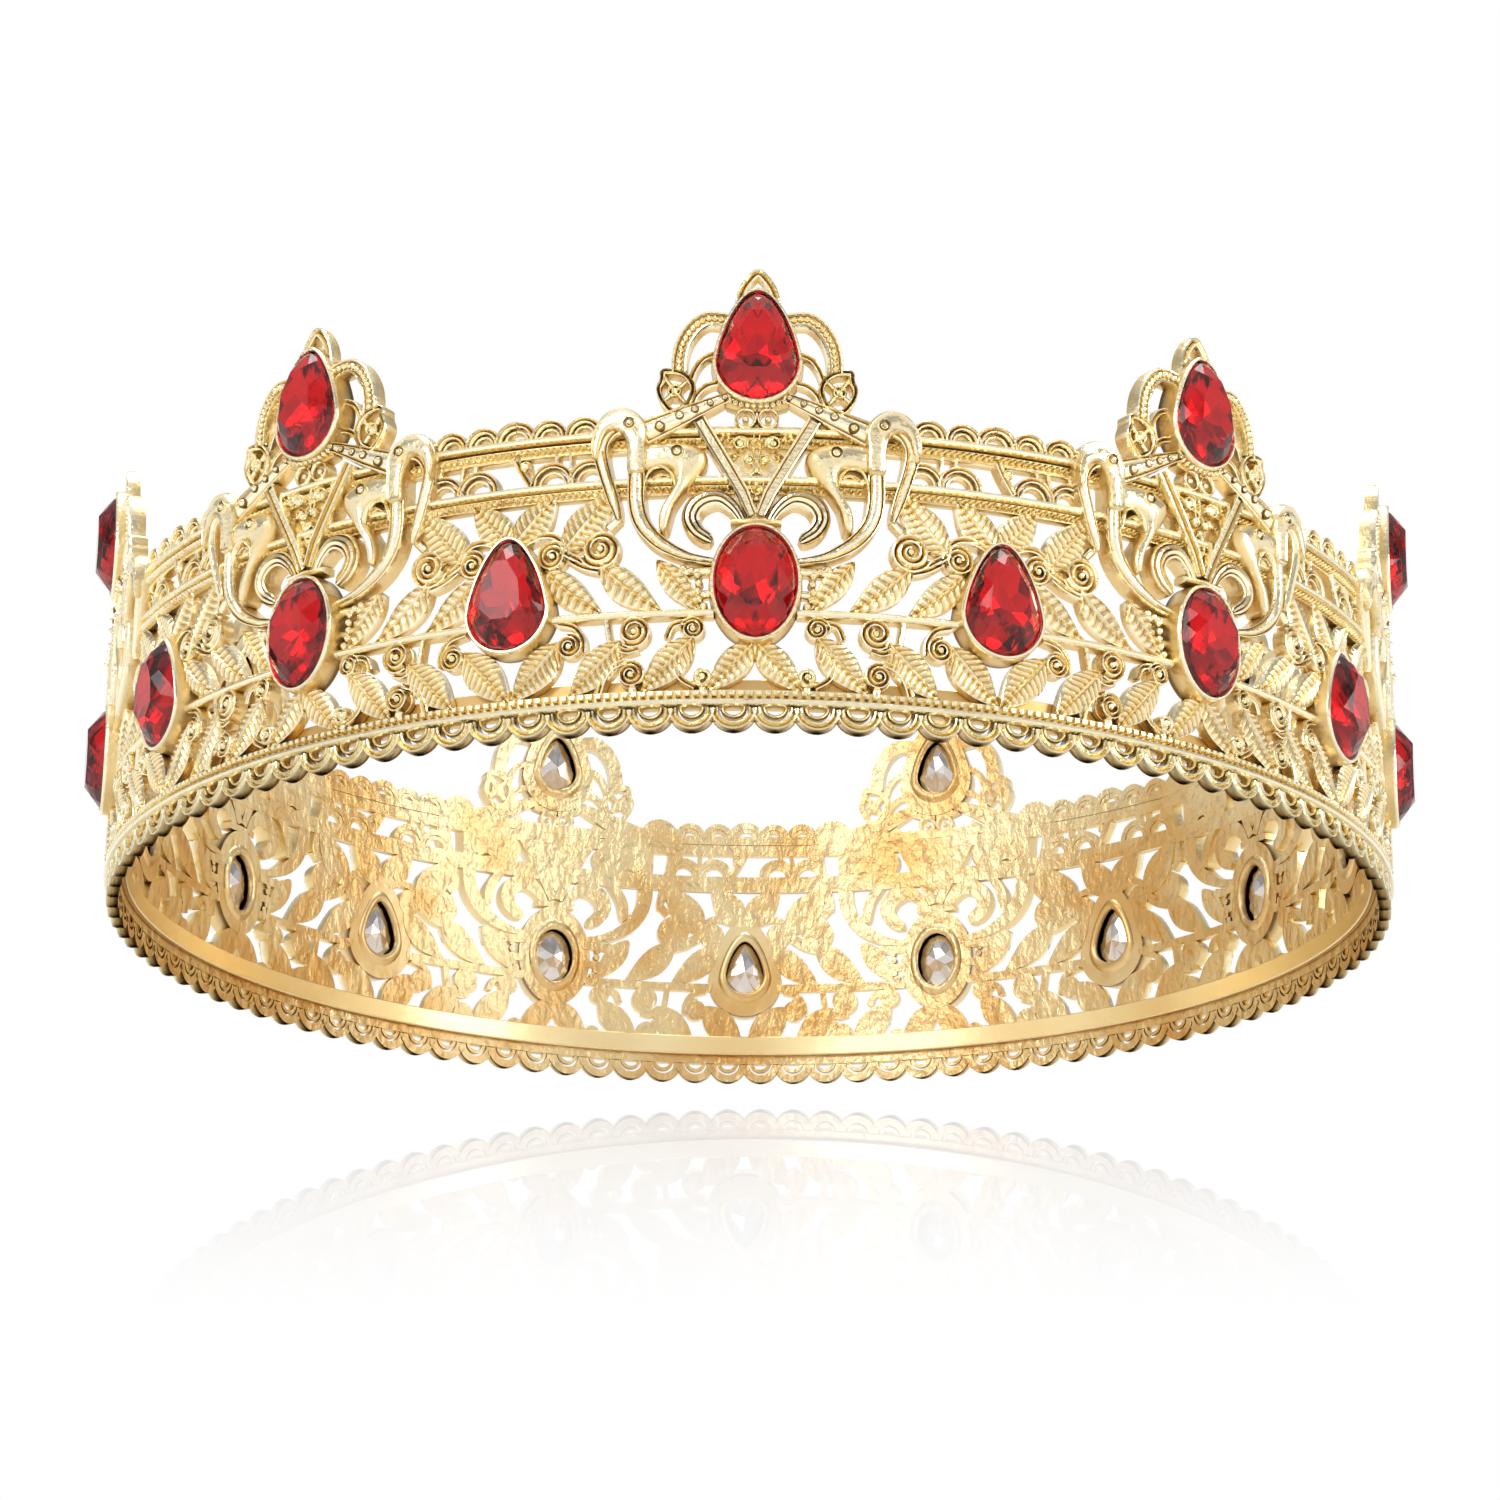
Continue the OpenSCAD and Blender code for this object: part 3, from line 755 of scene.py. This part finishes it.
def horn(half):
    rows = [(1.6, 8.4, 1.1, 2.5), (2.6, 10, 1.6, 2.7), (4.1, 11.2, 2.0, 2.9), (5.7, 11.2, 2.3, 3.05),
            (7.1, 10.3, 2.4, 3.1), (7.7, 8.7, 2.2, 3.05), (7.0, 7.2, 2.0, 2.9), (5.8, 6.3, 1.7, 2.7),
            (5.2, 5.9, 0.8, 2.4)]
    sweep(half, smooth(rows, 5), FLUTED)


def arm(half):
    rows = [(2.3, 24.4, 1.0, 2.4), (4, 23.9, 1.4, 2.5), (6.5, 22.8, 2.0, 2.6), (9.3, 21.5, 2.7, 2.8),
            (13.6, 19.7, 3.5, 2.8)]
    sweep(half, smooth(rows, 5), BODY)
    for centre, radius, height in (((3.8, 23.9), .26, 2.5), ((5.5, 23.2), .3, 2.6), ((7.3, 22.4), .34, 2.7),
                                   ((9.1, 21.6), .38, 2.8), ((11.4, 20.3), .46, 2.85)):
        stud(half, centre, radius, height)


def web(half):
    """The thin solid wall that joins the arms and heads at the back."""
    outline = [(8.4, 21), (13.6, 20.3), (17, 21.4), (18, 19.6), (15.2, 18.2), (13.4, 17.4), (9, 18.2),
               (7.6, 19.4)]
    pillow(half, smooth(outline, 3, True), 0.75, 0.8)


def v_bar(half):
    sweep(half, [(6.8, 21.1, 1.75, 2.7), (5.5, 18.8, 1.75, 2.7), (3.5, 15.3, 1.7, 2.7),
                 (1.6, 11.9, 1.6, 2.7), (0.5, 9.2, 1.2, 2.6)], RIMMED)


def filigree(relief, half):
    """The pierced triangle between the two slanting bars."""
    bar(relief, [(-5.6, 20), (0, 20.1), (5.6, 20)], 0.55, 1.6)
    scroll(half, (1.95, 18.2), 1.15, 200, -1, 1.3, 2.3)
    scroll(half, (0.95, 16.2), 0.8, 90, 1, 1.0, 2.1)
    leaf(half, (2.6, 18.7), (5.2, 19.7), 1.2, 4, 1.9)
    leaf(half, (1.9, 16.9), (3.6, 16.6), 1.0, 3, 1.7)
    bar(half, [(0.3, 19.8), (0.45, 18), (0.2, 16.6)], 0.4, 1.6)
    trace(relief, arc((0, 13.4), 0.85, 0, 345, 14, 1.7), 0.4, 1.8, WIRE, True)
    ball(relief, (0, 15), 0.42, 1.6)
    ball(relief, (0, 13.4), 0.35, 1.3)
    ball(relief, (0, 11.4), 0.4, 1.5)
    outline = [(5.4, 20.1), (2.6, 15.4), (0.4, 11), (-0.4, 11), (-2.6, 15.4), (-5.4, 20.1), (0, 19.4)]
    pillow(relief, smooth(outline, 3, True), 0.8, 0.8)
    sweep(relief, [(-3, 8.35, 0.9, 2.5), (0, 8.5, 0.9, 2.6), (3, 8.35, 0.9, 2.5)], WIRE)


def crest_loops(half, string):
    trace(half, arc((1.35, 21.5), 1.15, 0, 345, 18), 0.45, 2.1, WIRE, True)
    ball(half, (1.35, 21.5), 0.4, 1.5)
    string(half, even_line([(0.4, 22.9), (1.8, 23.0), (3.2, 23.6)]), "dot", 5)
    bar(half, [(0.1, 22.7), (2, 22.8), (3.6, 23.3)], 0.7, 1.8, STRIP)


def ear(half, string):
    line = [(3.6, 33.9), (5.9, 34.15), (7.5, 33.2), (8.75, 31.3), (9.25, 29.3), (9.3, 27.4)]
    bar(half, line, 1.95, 2.3, RIMMED, 5)
    string(half, even_line(line[:-1] + [(9.3, 28)]), "bead", 14)
    bar(half, [(4.9, 29.8), (6.4, 29.2), (7.4, 27.9), (8, 26.3)], 0.85, 1.9, DOUBLE)
    bar(half, [(4.4, 26.1), (6, 25.7), (7.2, 24.6), (7.8, 23.2)], 0.85, 1.9, DOUBLE)


def medallion(half):
    outline = [(7.6, 25.1), (8.1, 26.4), (9.3, 27.3), (11.1, 27.5), (11.3, 26.4), (11.7, 25), (11, 23.4),
               (9.8, 22.3), (8.2, 23.3)]
    trace(half, smooth(outline, 4, True), 0.75, 2.5, DOUBLE, True)
    centre = (9.8, 25)
    for end in ((8.4, 26.3), (11, 26.8), (11.2, 23.8), (8.6, 23.6)):
        bar(half, [centre, end], 0.7, 2.1)
    trace(half, arc(centre, 0.75, 0, 340, 14), 0.4, 2.5, WIRE, True)
    ball(half, centre, 0.45, 2.0)


def finial(relief):
    line = [(2.3, 34.9), (2.25, 36.4), (1.85, 37.9), (1.1, 39.2), (0, 40.2)]
    left = [(-u, v) for u, v in line[:-1]]
    widths = (1, 1.1, 1.2, 1.2, 1.3, 1.2, 1.2, 1.1, 1)
    rows = [(u, v, width, 1.9) for (u, v), width in zip(line + left[::-1], widths)]
    sweep(relief, smooth(rows, 4), DOUBLE)
    pillow(relief, [(-1.4, 36.8), (1.4, 36.8), (1, 37.9), (0, 38.2), (-1, 37.9)], 1.3, 0.8)


# ---- settings and stones

def oval_outline(width, height, n, phase=0.0):
    angles = 2 * np.pi * (np.arange(n) + phase) / n
    return np.stack([width / 2 * np.cos(angles), height / 2 * np.sin(angles)], 1)


def pear_outline(width, height, n, phase=0.0):
    """Point upwards, centred on its box."""
    r, drop = width / 2, height - width
    out = []
    for i in range(n):
        a = -math.pi / 2 + 2 * math.pi * (i + phase) / n
        s, c = math.sin(a), math.cos(a)
        if s <= 0:
            out.append((r * c, r * s - drop / 2))
        else:
            out.append((r * c * (1 - 0.3 * s), (r + drop) * s ** 0.92 - drop / 2))
    return np.array(out)


# Share of the stone's size, growth past it, height from the castings' back, and crest, which paints shade
# down the cup's walls and inside it and highlight on its rim.
CUP_RINGS = [(1, .52, 0, 0), (1, .54, .8, .3), (1, .46, 1.7, .45), (1, .40, 2.7, .6), (1, .36, 3.05, .95),
             (1, .22, 3.2, 1), (1, .02, 3.2, 1), (1, -.16, 3.02, .95), (1, -.2, 2.8, .6), (1, .02, 2.6, .3),
             (1, .02, 1.9, .1), (.72, 0, 1.0, .1), (.6, 0, .7, .3), (.57, 0, .1, .4), (.58, 0, -.2, .5),
             (.62, 0, -.36, .55), (.68, 0, -.38, .55), (.75, 0, -.2, .5), (.79, 0, .05, .2)]


def cup(outline):
    """Rows of (x, up, out, crest) and faces of one stone's cup."""
    n = 56
    rows = []
    for share, grow, out, crest in CUP_RINGS:
        ring = outline(STONE_W * share + 2 * grow, STONE_H * share + 2 * grow, n)
        rows += [(x, y, out, crest) for x, y in ring]
    return np.array(rows), grid_faces(len(CUP_RINGS), n, True)


# A stone's rings of corners: how many, share of its size, height, and turn in steps.
STONE_RINGS = [(16, 1.0, GIRDLE_LOW, 0), (16, 1.0, GIRDLE_TOP, 0), (16, .9, 3.4, .5), (12, .74, 4.4, 0),
               (8, .56, STONE_TOP, .5), (12, .8, 1.55, .5), (12, .55, .95, 0), (8, .28, .4, .5)]


def gem(outline):
    """A faceted stone: the hull of its rings of corners."""
    made = bmesh.new()
    for n, share, out, phase in STONE_RINGS:
        for x, y in outline(STONE_W * share, STONE_H * share, n, phase):
            made.verts.new((x, y, out))
    made.verts.new((0, PEAR_CULET if outline is pear_outline else 0, CULET))
    bmesh.ops.convex_hull(made, input=list(made.verts))
    bmesh.ops.dissolve_limit(made, angle_limit=math.radians(2), verts=list(made.verts),
                             edges=list(made.edges))
    made.verts.index_update()
    rows = np.array([(*v.co, 0) for v in made.verts])
    faces = [tuple(v.index for v in f.verts) for f in made.faces]
    made.free()
    return rows, faces


# ---- from the flat drawing to the ring

def wrapped(rows):
    """Bends flat rows round the front of the ring."""
    angle = rows[:, 0] / DRAWN_HALF * TURN / 2
    r = BACK_R + rows[:, 2]
    return np.stack([r * np.sin(angle), -r * np.cos(angle), (rows[:, 1] + DRAWN_FOOT) * RISE], 1) * MM


def stood(rows, height):
    """Stands flat rows up on the front of the ring, square to it, centred at a height."""
    return np.stack([rows[:, 0], -(BACK_R + rows[:, 2]), rows[:, 1] + height], 1) * MM


def turned(points, angle):
    c, s = math.cos(angle), math.sin(angle)
    return points @ np.array([[c, s, 0], [-s, c, 0], [0, 0, 1]])


def outward(points, faces):
    """The same faces, turned to point out of their closed shells."""
    mesh = bpy.data.meshes.new("check")
    mesh.from_pydata(points.tolist(), [], faces)
    made = bmesh.new()
    made.from_mesh(mesh)
    bmesh.ops.recalc_face_normals(made, faces=list(made.faces))
    made.verts.index_update()
    faces = [tuple(v.index for v in f.verts) for f in made.faces]
    made.free()
    bpy.data.meshes.remove(mesh)
    return faces


def piece(name, points, crest, faces, materials, node, flat=False, picks=None):
    """A finished piece that stands for a CAD node."""
    mesh = bpy.data.meshes.new(name)
    mesh.from_pydata(points.tolist(), [], faces)
    # The crest carries painted shade and painted highlight into the gold's colour.
    values = mesh.attributes.new("crest", "FLOAT", "POINT")
    values.data.foreach_set("value", np.asarray(crest, np.float32))
    for material in materials:
        mesh.materials.append(material)
    if picks is not None:
        mesh.polygons.foreach_set("material_index", picks)
    mesh.update()
    normals = np.array([f.normal for f in mesh.polygons])
    centres = np.array([f.center for f in mesh.polygons])
    facing = (normals[:, :2] * centres[:, :2]).sum(1) / np.linalg.norm(centres[:, :2], axis=1)
    inside = mesh.attributes.new("inside", "FLOAT", "FACE")
    inside.data.foreach_set("value", (facing < TURNED_IN).astype(np.float32))
    if flat:
        mesh.shade_flat()
    else:
        mesh.shade_smooth()
        mesh.set_sharp_from_angle(angle=SHARP)
    mesh.update()
    made = placed(name, mesh)
    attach(made, "root")
    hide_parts(node)
    return made


# ---- materials

def noise(nodes, links, place, scale, detail, stretch=(1, 1, 1)):
    """Noise over the object, drawn out along an axis by a small stretch. Scale may be a socket."""
    squeeze = nodes.new("ShaderNodeMapping")
    squeeze.inputs["Scale"].default_value = stretch
    cloud = nodes.new("ShaderNodeTexNoise")
    cloud.inputs["Detail"].default_value = detail
    links.new(place, squeeze.inputs["Vector"])
    links.new(squeeze.outputs["Vector"], cloud.inputs["Vector"])
    if isinstance(scale, (int, float)):
        cloud.inputs["Scale"].default_value = scale
    else:
        links.new(scale, cloud.inputs["Scale"])
    return cloud.outputs["Fac"]


def eased(nodes, links, value, low, high):
    """Zero below low, one above high, smooth between."""
    ease = nodes.new("ShaderNodeMapRange")
    ease.interpolation_type = "SMOOTHSTEP"
    set_values(ease, {"From Min": low, "From Max": high})
    links.new(value, ease.inputs["Value"])
    return ease.outputs["Result"]


def mixed(nodes, links, factor, first, second, kind="Color"):
    """First where the factor is zero, second where it is one."""
    blend = nodes.new("ShaderNodeMix")
    blend.data_type = "RGBA" if kind == "Color" else "FLOAT"
    sockets = {s.identifier: s for s in blend.inputs}
    links.new(factor, sockets["Factor_Float"])
    links.new(first, sockets["A_" + kind])
    links.new(second, sockets["B_" + kind])
    return next(s for s in blend.outputs if s.identifier == "Result_" + kind)


def math_node(nodes, links, operation, *values):
    node = nodes.new("ShaderNodeMath")
    node.operation = operation
    for socket, value in zip(node.inputs, values):
        if isinstance(value, (int, float)):
            socket.default_value = value
        else:
            links.new(value, socket)
    return node.outputs["Value"]


def attribute(nodes, name):
    node = nodes.new("ShaderNodeAttribute")
    node.attribute_name = name
    return node.outputs["Fac"]


def cast_tone_group():
    """Cast metal: painted shade in the grooves and on the sides, painted highlight on the ridges, streaky and
    patchy on the inside.
    """
    tree = bpy.data.node_groups.new("cast_tone", "ShaderNodeTree")
    for name in ("Painted Shade", "Middle", "Pale", "Inside Pale", "Inside Warm"):
        add_socket(tree, name, "Color", (0.8, 0.6, 0.3, 1))
    for name, value in (("Unevenness", 0.2), ("Grain Size", 900), ("Smoothest", 0.18), ("Roughest", 0.4),
                        ("Inside Roughness", 0.4), ("Inside Relief", 1.0)):
        add_socket(tree, name, "Float", value)
    add_socket(tree, "Color", "Color", out=True)
    add_socket(tree, "Roughness", "Float", out=True)
    add_socket(tree, "Height", "Float", out=True)
    nodes, links = tree.nodes, tree.links
    given = nodes.new("NodeGroupInput").outputs
    result = nodes.new("NodeGroupOutput").inputs
    place = nodes.new("ShaderNodeTexCoord").outputs["Object"]
    inside = attribute(nodes, "inside")
    patches = noise(nodes, links, place, 160, 4)
    sway = math_node(nodes, links, "SUBTRACT", patches, 0.5)
    # Painted shade and highlight: the crest, shifted a little at random, picks the painted shade colour where
    # it is low, the middle tone between, and the pale painted highlight where it is high.
    crest = math_node(nodes, links, "MULTIPLY_ADD", sway, given["Unevenness"], attribute(nodes, "crest"))
    low = eased(nodes, links, crest, 0.12, 0.5)
    high = eased(nodes, links, crest, 0.55, 0.93)
    front = mixed(nodes, links, low, given["Painted Shade"], given["Middle"])
    front = mixed(nodes, links, high, front, given["Pale"])
    warmth = eased(nodes, links, noise(nodes, links, place, 60, 5), 0.4, 0.64)
    back = mixed(nodes, links, warmth, given["Inside Pale"], given["Inside Warm"])
    links.new(mixed(nodes, links, inside, front, back), result["Color"])
    rough = mixed(nodes, links, high, given["Roughest"], given["Smoothest"], "Float")
    rough = mixed(nodes, links, inside, rough, given["Inside Roughness"], "Float")
    links.new(rough, result["Roughness"])
    grain = noise(nodes, links, place, given["Grain Size"], 3)
    streaks = noise(nodes, links, place, 620, 8, (1, 1, 0.65))
    grain = math_node(nodes, links, "MULTIPLY", grain, 0.2)
    streaks = math_node(nodes, links, "MULTIPLY", streaks, given["Inside Relief"])
    links.new(mixed(nodes, links, inside, grain, streaks, "Float"), result["Height"])
    return tree


def metal(name, group, values, bump, depth):
    material, nodes, links, surface = new_material(name)
    surface.inputs["Metallic"].default_value = 1
    tone = nodes.new("ShaderNodeGroup")
    tone.node_tree = group
    set_values(tone, values)
    dents = nodes.new("ShaderNodeBump")
    set_values(dents, {"Strength": bump, "Distance": depth})
    join(links, (tone, "Color", surface, "Base Color"), (tone, "Roughness", surface, "Roughness"),
         (tone, "Height", dents, "Height"), (dents, "Normal", surface, "Normal"))
    return material


TONE_INPUTS = ("Painted Shade", "Middle", "Pale", "Inside Pale", "Inside Warm", "Unevenness", "Grain Size",
               "Smoothest", "Roughest", "Inside Roughness", "Inside Relief")


def make_golds():
    """Gold of the castings, of the link settings and of the fitting band, in that order."""
    tone = cast_tone_group()
    golds = []
    # Name, bump strength and depth, then the tone inputs in order: painted shade for grooves and sides,
    # middle, painted highlight for ridges, inside pale, inside warm, unevenness, grain size, smoothest,
    # roughest, inside roughness and inside relief.
    for name, bump, depth, *values in (
            ("cast_gold", 0.8, 0.0006, (0.20, 0.11, 0.035, 1), (0.86, 0.66, 0.33, 1), (1.0, 0.92, 0.67, 1),
             (0.84, 0.69, 0.40, 1), (0.72, 0.45, 0.17, 1), 0.25, 1500, 0.16, 0.34, 0.3, 1.0),
            ("setting_gold", 0.4, 0.0002, (0.26, 0.14, 0.04, 1), (0.84, 0.65, 0.34, 1), (0.98, 0.90, 0.68, 1),
             (0.86, 0.71, 0.42, 1), (0.74, 0.48, 0.19, 1), 0.2, 1800, 0.12, 0.36, 0.35, 1.0),
            ("band_gold", 0.4, 0.0002, (0.60, 0.38, 0.14, 1), (0.92, 0.72, 0.38, 1), (1.0, 0.87, 0.56, 1),
             (1.0, 0.87, 0.54, 1), (0.96, 0.78, 0.44, 1), 0.3, 700, 0.22, 0.34, 0.24, 0.25)):
        golds.append(metal(name, tone, dict(zip(TONE_INPUTS, values)), bump, depth))
    return golds


def clouded(nodes, links, surface, scale, dark, pale):
    """Colours a surface unevenly between two tones, and returns the noise that does it."""
    place = nodes.new("ShaderNodeTexCoord")
    cloud = nodes.new("ShaderNodeTexNoise")
    cloud.inputs["Scale"].default_value = scale
    tone = nodes.new("ShaderNodeValToRGB")
    tone.color_ramp.elements[0].color = dark
    tone.color_ramp.elements[1].color = pale
    join(links, (place, "Object", cloud, "Vector"), (cloud, "Fac", tone, "Fac"),
         (tone, "Color", surface, "Base Color"))
    return cloud.outputs["Fac"]


def red_glass():
    material, nodes, links, surface = new_material("red_glass")
    set_values(surface, {"Roughness": 0.015, "IOR": 1.5, "Specular IOR Level": 0.18,
                         "Transmission Weight": 1.0})
    clouded(nodes, links, surface, 120, (0.60, 0.001, 0.004, 1), (0.88, 0.003, 0.008, 1))
    return material


def silver_foil():
    material, nodes, links, surface = new_material("silver_foil")
    surface.inputs["Metallic"].default_value = 1
    cloud = clouded(nodes, links, surface, 500, (0.58, 0.53, 0.50, 1), (0.88, 0.84, 0.82, 1))
    rough = nodes.new("ShaderNodeMapRange")
    set_values(rough, {"To Min": 0.06, "To Max": 0.2})
    links.new(cloud, rough.inputs["Value"])
    links.new(rough.outputs["Result"], surface.inputs["Roughness"])
    return material


# ---- putting the crown together

def draw_panel(material):
    """The whole casting without its cups, as flat rows and faces."""
    string, shapes = stringer(material)
    half = Relief()
    for draw in (top_arches, rail_arches, leaves, scrolls, stems):
        draw(half)
    frill(half, string)
    for draw in (swan, inner_head, horn, arm, web, v_bar):
        draw(half)
    ear(half, string)
    medallion(half)
    crest_loops(half, string)
    whole = Relief()
    rails(whole)
    ropes(whole, string)
    festoon(whole, string)
    end_brace(whole)
    filigree(whole, half)
    finial(whole)
    whole.add_both(half)
    for shape in shapes.values():
        bpy.data.objects.remove(shape)
    return np.concatenate(whole.points), whole.faces


def make_crown():
    cast_gold, setting_gold, band_gold = make_golds()
    glass, foil = red_glass(), silver_foil()

    rows, faces = draw_panel(cast_gold)
    oval_z, crest_z, link_z = (stone_height(n + "_1") for n in ("oval_stone", "crest_stone", "link_stone"))
    oval_rows, oval_faces = cup(oval_outline)
    pear_rows, pear_faces = cup(pear_outline)
    points = np.concatenate([wrapped(rows), stood(oval_rows, oval_z), stood(pear_rows, crest_z)])
    crest = np.concatenate([rows[:, 3], oval_rows[:, 3], pear_rows[:, 3]])
    first, second = len(rows), len(rows) + len(oval_rows)
    faces = faces + [tuple(i + first for i in f) for f in oval_faces]
    faces += [tuple(i + second for i in f) for f in pear_faces]
    faces = outward(points, faces)
    link_points = stood(pear_rows, link_z)
    link_faces = outward(link_points, pear_faces)
    stones = {}
    for kind, outline, z in (("oval", oval_outline, oval_z), ("crest", pear_outline, crest_z),
                             ("link", pear_outline, link_z)):
        g_rows, g_faces = gem(outline)
        picks = [int(np.mean([g_rows[i][2] for i in f]) < FOIL_BELOW) for f in g_faces]
        where = stood(g_rows, z)
        stones[kind] = (where, outward(where, g_faces), picks)

    for k in range(1, PANELS + 1):
        centre = (k - 1) * TURN
        seam = centre + TURN / 2
        piece(f"panel_{k}", turned(points, centre), crest, faces, [cast_gold],
              f"cast_panel_{k}")
        piece(f"link_cup_{k}", turned(link_points, seam), pear_rows[:, 3], link_faces, [setting_gold],
              f"link_setting_{k}")
        for kind, angle in (("oval", centre), ("crest", centre), ("link", seam)):
            where, s_faces, picks = stones[kind]
            piece(f"{kind}_gem_{k}", turned(where, angle), np.zeros(len(where)), s_faces, [glass, foil],
                  f"{kind}_stone_{k}", True, picks)
    make_band(band_gold)


def make_band(material):
    """The plain fitting band, with softened edges."""
    low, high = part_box("inner_band")
    outer = high.x / MM
    inner = outer - BAND_T
    z0, z1 = low.z / MM, high.z / MM
    e = BAND_SOFT
    # Crests paint highlight on the top face, a mid tone on the inner face and shade on the outer and bottom
    # faces.
    section = [(inner + e, z0, 0), (inner, z0 + e, .6), (inner, z1 - e, .6), (inner + e, z1, .8),
               (outer - e, z1, .8), (outer, z1 - e, .2), (outer, z0 + e, .2), (outer - e, z0, .2)]
    n = 180
    points, crest = [], []
    for r, z, c in section:
        for i in range(n):
            a = 2 * math.pi * i / n
            points.append((r * math.cos(a), r * math.sin(a), z))
            crest.append(c)
    points = np.array(points) * MM
    faces = outward(points, grid_faces(len(section), n, True))
    piece("fitting_band", points, crest, faces, [material], "inner_band")


make_mirror(make_camera())
make_world()
make_lights()
make_stage()
bpy.context.scene.view_settings.view_transform = "Standard"
make_crown()

bpy.context.view_layer.update()
